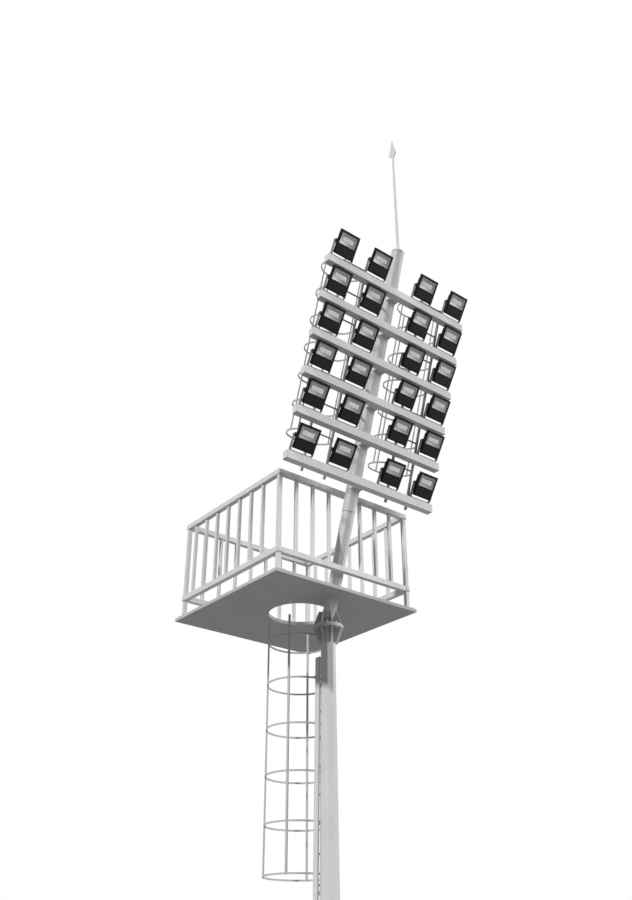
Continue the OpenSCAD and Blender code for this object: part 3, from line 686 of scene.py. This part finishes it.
class PYLON_OT_platform(bpy.types.Operator):
    """Paints the platform, lays its tread pattern and the rim of the hatch"""

    bl_idname = "pylon.platform"
    bl_label = "Platform"

    pitch: length("Pitch", "Distance between the tread's ribs", 0.045)
    margin: length("Margin", "Plain strip along the platform's edges", 0.05)
    hatch: length("Hatch", "Radius of the hatch", 0.362)
    hatch_back: length("Hatch back", "Distance of the hatch behind the mast", 0.507)
    hatch_clear: length("Hatch clear", "Width of the plain strip round the hatch", 0.065)
    neck_front: length("Neck front", "Distance of the neck in front of the mast", 0.081)
    neck_clear: length("Neck clear", "Radius of the plain patch round the neck", 0.13)
    post_side: length("Post side", "Sideways place of the corner posts", 0.925)
    post_inset: length("Post inset", "Distance of the corner posts from front and back", 0.075)
    post_clear: length("Post clear", "Radius of the plain patch round a corner post", 0.1)
    rim: length("Rim", "Width of the hatch's rim", 0.045)
    rise: length("Rise", "Height of the rim above the floor", 0.006)
    screw_reach: length("Screw reach", "Distance of the rim's screws from the hatch", 0.024)
    screws: IntProperty(name="Screws", description="Screws in the hatch's rim", default=12, min=1)

    def execute(self, context):
        finish = finishes()
        small = context.scene.pylon_fixings.small
        coat(finish["platform"], "platform_floor")
        low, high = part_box("platform_floor")
        self.tread(low, high).piece("platform_tread", finish["platform"], "platform_steel")
        inner, outer = self.hatch + MM, self.hatch + self.rim
        level = self.rise - CHAMFER
        section = (
            (outer, 0), (outer, level), (outer - CHAMFER, self.rise),
            (inner + CHAMFER, self.rise), (inner, level), (inner, 0),
        )
        rim, screws = Maker(), Maker()
        rim.turned(at(0, self.hatch_back, high.z), section, 72, ring=True)
        reach = self.hatch + self.screw_reach
        for k in range(self.screws):
            turn = 2 * math.pi * (k + 0.5) / self.screws
            x, y = reach * math.cos(turn), self.hatch_back + reach * math.sin(turn)
            screws.nut(at(x, y, high.z + self.rise), small * 1.4, small)
        rim.piece("hatch_rim", finish["zinc"], "galvanised")
        screws.piece("hatch_screws", finish["bolts"], "galvanised")
        return {"FINISHED"}

    def tread(self, low, high):
        """Ribs all over the floor but not near the hatch, the neck and the corner posts."""
        plain = [
            (Vector((0, self.hatch_back, 0)), self.hatch + self.hatch_clear),
            (Vector((0, -self.neck_front, 0)), self.neck_clear),
        ]
        for x in (-self.post_side, self.post_side):
            for y in (low.y + self.post_inset, high.y - self.post_inset):
                plain.append((Vector((x, y, 0)), self.post_clear))
        across = int((high.x - low.x - 2 * self.margin) / self.pitch)
        deep = int((high.y - low.y - 2 * self.margin) / self.pitch)
        corner = Vector((low.x + self.margin, low.y + self.margin, 0))
        tread = Maker()
        for i in range(across + 1):
            for j in range(deep + 1):
                spot = corner + Vector((i, j, 0)) * self.pitch
                if all((spot - middle).length >= radius for middle, radius in plain):
                    turn = math.pi / 4 if (i + j) % 2 else -math.pi / 4
                    self.rib(tread, at(spot.x, spot.y, high.z) @ turned_by(turn))
        return tread

    @staticmethod
    def rib(maker, matrix):
        """Raised lozenge of the tread plate."""
        half, wide, rise = 0.015, 0.0045, 0.0018
        top_half, top_wide = 0.6 * half, 0.4 * wide
        base = [(half, 0, 0), (0, wide, 0), (-half, 0, 0), (0, -wide, 0)]
        crown = [(top_half, 0, rise), (0, top_wide, rise), (-top_half, 0, rise), (0, -top_wide, rise)]
        maker.skin([base, crown], matrix)


class PYLON_OT_railings(bpy.types.Operator):
    """Finishes the railings, caps the rails and bolts down the corner posts"""

    bl_idname = "pylon.railings"
    bl_label = "Railings"

    rail: length("Rail", "Side of the square rails", 0.06)
    foot: length("Foot", "Side of the corner posts' feet", 0.13)
    plate: length("Plate", "Thickness of the feet", 0.01)
    inset: length("Inset", "Distance of the bolts from the feet's edges", 0.02)
    stud: length("Stud", "Height of the bolts above the feet", 0.016)

    def execute(self, context):
        finish = finishes()
        small = context.scene.pylon_fixings.small
        coat(finish["zinc"], "railing_front", "railing_back", "railing_left", "railing_right")
        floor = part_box("platform_floor")[1].z
        lower_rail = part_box("railing_front")[0].z + self.rail / 2
        cap = self.rail - 2 * CAP_MARGIN
        reach = self.foot / 2 - self.inset
        caps, feet, bolts = Maker(), Maker(), Maker()
        for node in ("railing_left", "railing_right"):
            low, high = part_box(node)
            x = (low.x + high.x) / 2
            for end, out in ((low.y, -1), (high.y, 1)):
                for z in (high.z - self.rail / 2, lower_rail):
                    caps.block(at(x, end + out * CAP_MIDDLE, z), (cap, CAP_THICK, cap), CHAMFER)
                y = end - out * self.rail / 2
                feet.block(at(x, y, floor + self.plate / 2), (self.foot, self.foot, self.plate), CHAMFER)
                for sx, sy in CORNERS:
                    spot = at(x + sx * reach, y + sy * reach, floor + self.plate)
                    bolts.bolt(spot, small, self.stud)
        caps.piece("rail_caps", finish["zinc"], "galvanised")
        feet.piece("post_feet", finish["zinc"], "galvanised")
        bolts.piece("post_bolts", finish["bolts"], "galvanised")
        return {"FINISHED"}


class PYLON_OT_ladders(bpy.types.Operator):
    """Finishes ladders and cages and sets the bolts of their hoops"""

    bl_idname = "pylon.ladders"
    bl_label = "Ladders and cages"

    hoop_first: length("First hoop", "Distance of the first hoop below the platform", 0.344)
    hoop_gap: length("Hoop gap", "Distance between the hoops", 0.486)
    hoops: IntProperty(name="Hoops", description="Hoops of the lower cage", default=6, min=1)
    radius: length("Radius", "Radius of the lower cage", 0.355)
    back: length("Back", "Distance of the lower cage behind the mast", 0.507)
    half_plate: length("Half plate", "Half the thickness of the hoops", 0.0045)

    def execute(self, context):
        finish = finishes()
        head = context.scene.pylon_head
        small = context.scene.pylon_fixings.small
        coat(finish["zinc"], "ladder")
        # The lower cage takes the zinc darkened as painted shade.
        coat(finish["dull"], "ladder_cage")
        coat(finish["aged"], "head_ladder_left", "head_ladder_right", "head_ladder_lugs")
        coat(finish["aged"], "head_cage_left", "head_cage_right")
        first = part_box("platform_floor")[0].z - self.hoop_first
        bolts = Maker()
        for k in range(self.hoops):
            middle = at(0, self.back, first - k * self.hoop_gap)
            for turn in LOWER_CAGE_BOLTS:
                self.head(bolts, middle, turn, self.radius, small)
        for side in (-1, 1):
            for k in range(head.hoops):
                along = head.hoop_low + k * head.hoop_gap
                middle = head_frame() @ at(side * head.ladder_side, head.cage_back, along)
                for turn in HEAD_CAGE_BOLTS:
                    self.head(bolts, middle, turn, head.cage_radius, small)
        bolts.piece("cage_bolts", finish["bolts"], "galvanised")
        return {"FINISHED"}

    def head(self, maker, middle, turn, radius, size):
        """Domed bolt head on the outside of a hoop."""
        out = Vector((math.sin(math.radians(turn)), -math.cos(math.radians(turn)), 0))
        spot = middle @ at(*(out * (radius + self.half_plate))) @ facing(out)
        dome = ((1, 0), (0.93, 0.3), (0.7, 0.5), (0.3, 0.6))
        maker.turned(spot, [(r * size, z * size) for r, z in dome], 14)


class PYLON_OT_arms(bpy.types.Operator):
    """Finishes arms and saddles and adds end caps, weld seams and bolts"""

    bl_idname = "pylon.arms"
    bl_label = "Cross arms"

    depth: length("Depth", "Depth of the arms", 0.085)
    height: length("Height", "Height of the arms", 0.1)
    saddle: length("Saddle", "Width of the saddles", 0.14)
    saddle_depth: length("Saddle depth", "Depth of the saddles behind the arms", 0.075)
    saddle_height: length("Saddle height", "Height of the saddles", 0.076)
    bead: length("Bead", "Radius of the saddles' weld seams", 0.004)
    bolt_side: length("Bolt side", "Distance of the bolts from a yoke's middle", 0.1)
    stud: length("Stud", "Height of the bolts above the yokes' feet", 0.018)

    def execute(self, context):
        finish = finishes()
        head = context.scene.pylon_head
        lamp = context.scene.pylon_lamp
        small = context.scene.pylon_fixings.small
        coat(finish["arms"], "cross_arms", "arm_saddles")
        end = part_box("cross_arms")[1].x + CAP_MIDDLE
        cap = (CAP_THICK, self.depth - 2 * CAP_MARGIN, self.height - 2 * CAP_MARGIN)
        caps, seams, bolts = Maker(), Maker(), Maker()
        for row in sorted({node.split("_")[1] for node in JOINTS}):
            pivots = [JOINTS[node] for node in sorted(JOINTS) if node.split("_")[1] == row]
            foot = pivots[0].y + lamp.yoke_height * math.sin(lamp.yoke_lean)
            y = foot - lamp.yoke_setback + self.depth / 2
            top = pivots[0].z - lamp.yoke_height * math.cos(lamp.yoke_lean)
            z = top - self.height / 2
            for side in (-1, 1):
                caps.block(at(side * end, y, z), cap, CHAMFER)
                self.weld(seams, head, y, z, side)
                for pivot in pivots:
                    spot = at(pivot.x + side * self.bolt_side, foot, top + lamp.yoke_plate)
                    bolts.bolt(spot, small * 1.2, self.stud)
        caps.piece("arm_caps", finish["arms"], "arm_grey")
        seams.piece("saddle_seams", finish["seams"], "mast_grey")
        bolts.piece("arm_bolts", finish["bolts"], "galvanised")
        return {"FINISHED"}

    def weld(self, seams, head, y, z, side):
        """Seam where the edge of a saddle meets the leaning pole."""
        slope = math.tan(3 * math.pi / 8) / math.cos(head.tilt)
        back = y + self.depth / 2 + self.saddle_depth
        steps = 12
        points = []
        for i in range(steps + 1):
            high = z + self.saddle_height * (i / steps - 0.5)
            axis = -(high - head.bend) * math.tan(head.tilt)
            front = min(back, axis - (head.pole - self.saddle / 2) * slope)
            points.append((side * (head.pole - (axis - front) / slope), front, high))
        seams.seam(points, self.bead, closed=False)


class PYLON_OT_yokes(bpy.types.Operator):
    """Bends each yoke from flat bar, with round corners and an eye at each pivot"""

    bl_idname = "pylon.yokes"
    bl_label = "Yokes"

    leg: length("Leg", "Width of the legs", 0.036)
    foot: length("Foot", "Depth of the foot on the arm", 0.056)
    bend: length("Bend", "Radius of the corners", 0.036)
    edge: length("Edge", "Chamfer of the bar's edges", 0.0008)
    hole: length("Hole", "Radius of the holes for the pins", 0.0083)
    drop: length("Drop", "Reach of an eye below its pivot", 0.0125)
    proud: length("Proud", "Height of the eyes over the bar", 0.0002)

    def execute(self, context):
        finish = finishes()
        lamp = context.scene.pylon_lamp
        coat(finish["yokes"], "lamp_yokes")
        yokes = Maker()
        for pivot in JOINTS.values():
            spot = at(*pivot) @ turned_by(lamp.yoke_lean, "X")
            self.bar(yokes, lamp, spot)
            for side in (-1, 1):
                self.eye(yokes, lamp, spot @ at(side * (lamp.yoke_side - lamp.yoke_plate / 2), 0, 0))
        piece = yokes.piece("bent_yokes", finish["yokes"], "yoke_steel")
        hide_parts("lamp_yokes")
        return {"FINISHED"}

    def bar(self, maker, lamp, matrix):
        """Flat bar from one eye down to the foot on the arm and up to the other eye."""
        leg = lamp.yoke_side - lamp.yoke_plate / 2
        low = lamp.yoke_plate / 2 - lamp.yoke_height
        path = [(leg, -self.hole - MM, 0.0, 1.0)]
        steps = 8
        for i in range(steps + 1):
            turn = -math.pi / 2 * i / steps
            x = leg - self.bend * (1 - math.cos(turn))
            path.append((x, low + self.bend * (1 + math.sin(turn)), turn, 1 - i / steps))
        rows = [self.section(lamp, 1, *point) for point in path]
        rows += [self.section(lamp, -1, *point) for point in reversed(path)]
        maker.skin(rows, matrix)

    def section(self, lamp, side, x, z, turn, upright):
        """Outline of the bar; it lies flat on the arm where upright is 0."""
        width = self.foot + (self.leg - self.foot) * upright
        lean = -lamp.yoke_lean * (1 - upright)
        points = []
        for out, along in cut_corners(lamp.yoke_plate / 2, width / 2, self.edge):
            rise = out * math.sin(turn) + along * math.sin(lean)
            points.append((side * (x + out * math.cos(turn)), along * math.cos(lean), z + rise))
        return points

    def eye(self, maker, lamp, matrix):
        """Round end of a leg with the hole for the pin."""
        thick, wide = lamp.yoke_plate / 2 + self.proud, (self.leg + self.proud) / 2
        steps = 32
        loops = []
        for k in range(steps):
            turn = 2 * math.pi * k / steps
            y, z = math.cos(turn), math.sin(turn)
            reach = wide if z >= 0 else min(wide / max(abs(y), MM), -self.drop / z)
            corners = ((self.hole, -thick), (reach, -thick), (reach, thick), (self.hole, thick))
            loops.append([(x, r * y, r * z) for r, x in corners])
        maker.skin(loops, matrix, ring=True)


class PYLON_OT_floodlights(bpy.types.Operator):
    """Coats the floodlights and adds their reflectors, boards, glass, frames and pivot nuts"""

    bl_idname = "pylon.floodlights"
    bl_label = "Floodlights"

    columns: IntProperty(name="Columns", description="Lenses across the lamp board", default=10, min=1)
    rows: IntProperty(name="Rows", description="Lenses up the lamp board", default=3, min=1)
    slack: length("Slack", "Gap between the reflector and the housing", 0.0008)
    pane: length("Pane", "Thickness of the glass", 0.0012)

    def execute(self, context):
        finish = finishes()
        lamp = context.scene.pylon_lamp
        meshes = (
            (self.optic(lamp).mesh("lamp_optic", finish["optic"]), ""),
            (self.glass(lamp).mesh("lamp_glass", finish["glass"]), ""),
            (self.trim(lamp).mesh("lamp_trim", finish["lamps"]), "lamp_black"),
            (self.nuts(lamp).mesh("pivot_nuts", finish["yokes"]), "yoke_steel"),
        )
        for node, pivot in JOINTS.items():
            coat(finish["lamps"], node)
            spot = at(*pivot) @ turned_by(lamp.lean, "X")
            number = node.removeprefix("floodlight_")
            for mesh, slot in meshes:
                put(f"{mesh.name}_{number}", mesh, node, spot)
        return {"FINISHED"}

    def optic(self, lamp):
        """Pressed reflector with a lensed lamp board at its end."""
        maker = Maker()
        floor = lamp.depth - lamp.face - self.slack
        wide, high = lamp.window_width - 2 * self.slack, lamp.window_height - 2 * self.slack
        loops = []
        for share in (0.0, 0.3, 0.62, 0.86, 1.0):
            w = wide * (1 - share) + lamp.board_width * share
            h = high * (1 - share) + lamp.board_height * share
            y = -lamp.face + (floor + lamp.face) * share ** 0.92
            loops.append([(sx * w / 2, y, lamp.window_rise + sz * h / 2) for sx, sz in CORNERS])
        maker.skin(loops, ends=False)
        board = 2 * MM
        size = (lamp.board_width - MM, board, lamp.board_height - MM)
        maker.block(at(0, floor - board / 2, lamp.window_rise), size, 0.6 * MM)
        for i in range(self.columns):
            for j in range(self.rows):
                x = (i - (self.columns - 1) / 2) * lamp.board_width / (self.columns + 0.4)
                z = (j - (self.rows - 1) / 2) * lamp.board_height / (self.rows + 0.2)
                spot = at(x, floor - board, lamp.window_rise + z)
                maker.turned(spot @ facing((0, -1, 0)), LENS, 10)
        return maker

    def glass(self, lamp):
        maker = Maker()
        size = (lamp.window_width - 2 * MM, self.pane, lamp.window_height - 2 * MM)
        maker.block(at(0, -lamp.face - self.pane / 2, lamp.window_rise), size, self.pane / 4)
        return maker

    @staticmethod
    def trim(lamp):
        """Window frame, its screws, the cover's screws and the cable gland."""
        maker = Maker()
        width, height = lamp.window_width, lamp.window_height
        loops = []
        for grow, over in FRAME:
            outline = rounded(width + 2 * grow, height + 2 * grow, 6 * MM)
            loops.append([(x, -over, z) for x, z in outline])
        maker.skin(loops, at(0, -lamp.face, lamp.window_rise), ring=True)
        proud = max(over for _, over in FRAME)
        for sx in (-1, 0, 1):
            for sz in (-1, 1):
                x, z = sx * (width / 2 - 10 * MM), lamp.window_rise + sz * (height / 2 + proud)
                maker.turned(at(x, -lamp.face - proud, z) @ facing((0, -1, 0)), FRAME_SCREW, 10)
        for sx in (-1, 1):
            for z in COVER_SCREW_PLACES:
                spot = at(sx * (lamp.width / 2 - 22 * MM), -lamp.face - 6 * MM, z)
                maker.turned(spot @ facing((0, -1, 0)), COVER_SCREW, 12)
        gland = at(0, 0, -lamp.height / 2) @ at(*GLAND_PLACE) @ facing((0, 0, -1))
        maker.nut(gland, 8.5 * MM, 6 * MM)
        maker.turned(gland @ at(0, 0, 6 * MM), GLAND, 14)
        return maker

    @staticmethod
    def nuts(lamp):
        """Washer and capped nut outside each leg of the yoke."""
        maker = Maker()
        washer, nut = PIVOT_WASHER[-1][1], 5 * MM
        for sx in (-1, 1):
            side = at(sx * (lamp.yoke_side + MM / 2), 0, 0) @ facing((sx, 0, 0))
            maker.turned(side, PIVOT_WASHER, 20)
            maker.nut(side @ at(0, 0, washer), 12.2 * MM, nut)
            maker.turned(side @ at(0, 0, washer + nut), PIVOT_CAP, 16)
        return maker


class PYLON_OT_stage(bpy.types.Operator):
    """Sets the floor, the light and the camera"""

    bl_idname = "pylon.stage"
    bl_label = "Stage"

    def execute(self, context):
        scene = context.scene
        stage = scene.pylon_stage
        scene.view_settings.view_transform = "Standard"
        self.floor(stage)
        self.sky(scene, stage)
        self.sun("Key", stage.key_from, stage.key, stage.key_spread)
        self.sun("Fill", stage.fill_from, stage.fill, stage.fill_spread)
        data = bpy.data.cameras.new("Camera")
        data.sensor_fit = "VERTICAL"
        data.sensor_height = 36.0
        data.lens = stage.lens
        data.clip_end = 200.0
        camera = bpy.data.objects.new("Camera", data)
        camera.location = stage.camera
        camera.rotation_euler = (math.pi / 2 + stage.pitch, 0, -stage.yaw)
        scene.collection.objects.link(camera)
        scene.camera = camera
        return {"FINISHED"}

    @staticmethod
    def seen(finish):
        """1 for rays that show the backdrop: from the camera, off metal or through glass."""
        path = finish.node("ShaderNodeLightPath").socket.node.outputs
        camera, glossy, through = (
            Shade(finish, path[name]) for name in ("Is Camera Ray", "Is Glossy Ray", "Is Transmission Ray")
        )
        seen = camera + glossy + through
        return seen.sum("MINIMUM", seen, 1.0)

    def floor(self, stage):
        maker = Maker()
        maker.turned(Matrix(), [(stage.floor, -20 * MM), (stage.floor, -2 * MM)], 96)
        f = Finish("Pale floor")
        cloud = f.noise(f.place(), 0.6, 3.0)
        pale = f.blend(cloud, (0.8, 0.8, 0.8), (0.83, 0.83, 0.83))
        ground = f.blend(self.seen(f), (0.2, 0.2, 0.2), pale)
        mesh = maker.mesh("floor", f.surface(Base_Color=ground, Roughness=0.9))
        floor = bpy.data.objects.new("floor", mesh)
        bpy.context.scene.collection.objects.link(floor)

    def sky(self, scene, stage):
        world = bpy.data.worlds.new("Studio")
        scene.world = world
        f = Finish("Studio", world)
        strength = stage.sky + self.seen(f) * (1.0 - stage.sky)
        sockets = {"Color": (1.0, 1.0, 1.0, 1.0), "Strength": strength}
        f.show(f.node("ShaderNodeBackground", sockets=sockets), "ShaderNodeOutputWorld")

    @staticmethod
    def sun(name, source, strength, spread):
        data = bpy.data.lights.new(name, "SUN")
        data.energy = strength
        data.angle = spread
        light = bpy.data.objects.new(name, data)
        light.matrix_world = facing(source)
        bpy.context.scene.collection.objects.link(light)


OPERATORS = (
    PYLON_OT_mast,
    PYLON_OT_base,
    PYLON_OT_platform,
    PYLON_OT_railings,
    PYLON_OT_ladders,
    PYLON_OT_arms,
    PYLON_OT_yokes,
    PYLON_OT_floodlights,
    PYLON_OT_stage,
)
GROUPS = {
    "pylon_finishes": PylonFinishes,
    "pylon_head": PylonHead,
    "pylon_fixings": PylonFixings,
    "pylon_lamp": PylonLamp,
    "pylon_stage": PylonStage,
}


class PYLON_PT_tools(bpy.types.Panel):
    """Lists the steps that dress the pylon"""

    bl_idname = "PYLON_PT_tools"
    bl_label = "Floodlight pylon"
    bl_space_type = "VIEW_3D"
    bl_region_type = "UI"
    bl_category = "Pylon"

    def draw(self, context):
        for operator in OPERATORS:
            self.layout.operator(operator.bl_idname)


def register():
    for name, group in GROUPS.items():
        bpy.utils.register_class(group)
        setattr(bpy.types.Scene, name, PointerProperty(type=group))
    for item in (*OPERATORS, PYLON_PT_tools):
        bpy.utils.register_class(item)


def unregister():
    for item in (PYLON_PT_tools, *reversed(OPERATORS)):
        bpy.utils.unregister_class(item)
    for name, group in GROUPS.items():
        delattr(bpy.types.Scene, name)
        bpy.utils.unregister_class(group)


def main():
    register()
    bpy.ops.pylon.mast()
    bpy.ops.pylon.base()
    bpy.ops.pylon.platform()
    bpy.ops.pylon.railings()
    bpy.ops.pylon.ladders()
    bpy.ops.pylon.arms()
    bpy.ops.pylon.yokes()
    bpy.ops.pylon.floodlights()
    bpy.ops.pylon.stage()


if __name__ == "__main__":
    main()
